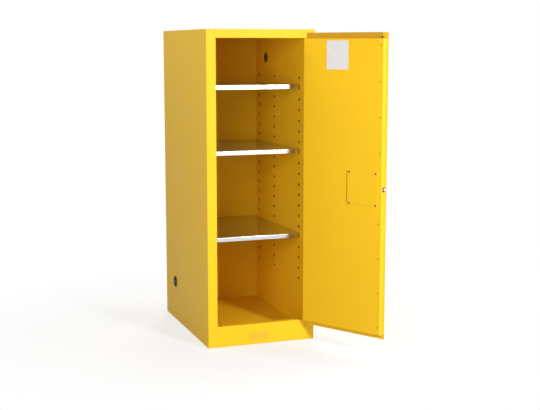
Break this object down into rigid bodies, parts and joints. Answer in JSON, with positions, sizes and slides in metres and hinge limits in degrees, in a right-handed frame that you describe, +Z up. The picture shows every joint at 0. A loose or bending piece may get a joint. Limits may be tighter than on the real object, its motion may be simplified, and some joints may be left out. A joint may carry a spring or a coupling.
{
  "type": "flammable safety cabinet",
  "caption": "Tall yellow double-walled steel cabinet for flammable liquids, with a hinged latching door, lift-off shelves, a leakproof sump and bunged vents.",
  "frame": {"origin": "centre of the cabinet's footprint, on the floor", "axes": "+Z up, -Y out of the front opening, +X towards the hinge side"},
  "size_m": [0.8061, 1.315, 1.651],
  "materials": {
    "yellow_paint": "satin",
    "galvanised_steel": "satin",
    "zinc_steel": "satin",
    "brass": "satin",
    "black_plastic": "matte",
    "black_paint": "satin"
  },
  "bodies": {
    "cabinet": {"outer_left_side": "yellow_paint", "outer_right_side": "yellow_paint", "outer_top": "yellow_paint", "outer_back": "yellow_paint", "outer_bottom": "yellow_paint", "frame_top_rail": "yellow_paint", "frame_sill": "yellow_paint", "liner_left": "yellow_paint", "liner_right": "yellow_paint", "liner_back": "yellow_paint", "liner_top": "yellow_paint", "sump_floor": "yellow_paint", "lower_vent_fitting": "yellow_paint", "upper_vent_fitting": "yellow_paint", "hinge_frame_leaf": "yellow_paint", "lower_shelf_clips": "zinc_steel", "middle_shelf_clips": "zinc_steel", "upper_shelf_clips": "zinc_steel", "foot_brackets": "zinc_steel", "ground_stud": "zinc_steel", "hinge_pin": "zinc_steel", "lower_vent_arrester": "zinc_steel", "upper_vent_arrester": "zinc_steel", "ground_nut": "brass"},
    "door": {"door_skin": "yellow_paint", "door_inner_pan": "yellow_paint", "hinge_door_leaf": "yellow_paint", "latch_cover": "yellow_paint", "latch_cover_screws": "black_paint", "handle_cup": "black_paint", "handle_pivot_pin": "zinc_steel", "slide_guides": "zinc_steel", "rod_guides": "black_plastic", "bolt_bushings": "black_plastic", "lock_housing": "zinc_steel"},
    "handle": {"handle_paddle": "black_paint"},
    "slide": {"latch_slide": "zinc_steel", "side_bolt": "zinc_steel"},
    "top_bolt": {"upper_rod": "zinc_steel"},
    "bottom_bolt": {"lower_rod": "zinc_steel"},
    "lock": {"lock_cylinder": "zinc_steel"},
    "shelf_lower": {"lower_shelf": "galvanised_steel"},
    "shelf_middle": {"middle_shelf": "galvanised_steel"},
    "shelf_upper": {"upper_shelf": "galvanised_steel"},
    "bung_lower": {"lower_vent_bung": "black_plastic"},
    "bung_upper": {"upper_vent_bung": "black_plastic"},
    "level_front_left": {"foot_front_left": "zinc_steel"},
    "level_front_right": {"foot_front_right": "zinc_steel"},
    "level_rear_left": {"foot_rear_left": "zinc_steel"},
    "level_rear_right": {"foot_rear_right": "zinc_steel"}
  },
  "joints": [
    {"name": "door_swing", "type": "hinge", "parent": "cabinet", "child": "door", "pos_m": [0.2531, -0.43715, 0], "axis": [0, 0, 1], "range_deg": [-120.5, 59.5]},
    {"name": "handle_pull", "type": "hinge", "parent": "door", "child": "handle", "pos_m": [0.46374, -0.81445, 0.857], "axis": [0, 0, -1], "range_deg": [0, 40], "stiffness_Nm_per_rad": 3, "springref_deg": -17.19},
    {"name": "key_turn", "type": "hinge", "parent": "door", "child": "lock", "pos_m": [0.44618, -0.77025, 0.95], "axis": [-0.8616, -0.5075, 0], "range_deg": [0, 90]},
    {"name": "latch_draw", "type": "slide", "parent": "door", "child": "slide", "axis": [-0.5075, 0.8616, 0], "range_m": [0, 0.011]},
    {"name": "latch_rod_lower", "type": "slide", "parent": "door", "child": "bottom_bolt", "axis": [0, 0, 1], "range_m": [0, 0.011]},
    {"name": "latch_rod_upper", "type": "slide", "parent": "door", "child": "top_bolt", "axis": [0, 0, -1], "range_m": [0, 0.011]},
    {"name": "shelf_lower_lift", "type": "slide", "parent": "cabinet", "child": "shelf_lower", "axis": [0, 0, 1], "range_m": [0, 0.03]},
    {"name": "shelf_middle_lift", "type": "slide", "parent": "cabinet", "child": "shelf_middle", "axis": [0, 0, 1], "range_m": [0, 0.03]},
    {"name": "shelf_upper_lift", "type": "slide", "parent": "cabinet", "child": "shelf_upper", "axis": [0, 0, 1], "range_m": [0, 0.03]},
    {"name": "vent_bung_lower", "type": "slide", "parent": "cabinet", "child": "bung_lower", "axis": [-1, 0, 0], "range_m": [0, 0.06]},
    {"name": "vent_bung_upper", "type": "slide", "parent": "cabinet", "child": "bung_upper", "axis": [1, 0, 0], "range_m": [0, 0.06]},
    {"name": "wind_foot_front_left", "type": "slide", "parent": "cabinet", "child": "level_front_left", "axis": [0, 0, -1], "range_m": [0, 0.02]},
    {"name": "wind_foot_front_right", "type": "slide", "parent": "cabinet", "child": "level_front_right", "axis": [0, 0, -1], "range_m": [0, 0.02]},
    {"name": "wind_foot_rear_left", "type": "slide", "parent": "cabinet", "child": "level_rear_left", "axis": [0, 0, -1], "range_m": [0, 0.02]},
    {"name": "wind_foot_rear_right", "type": "slide", "parent": "cabinet", "child": "level_rear_right", "axis": [0, 0, -1], "range_m": [0, 0.02]}
  ],
  "couplings": [
    {"joint": "latch_draw", "follows": "handle_pull", "m_per_rad": 0.015677},
    {"joint": "latch_rod_lower", "follows": "handle_pull", "m_per_rad": 0.015677},
    {"joint": "latch_rod_upper", "follows": "handle_pull", "m_per_rad": 0.015677}
  ]
}
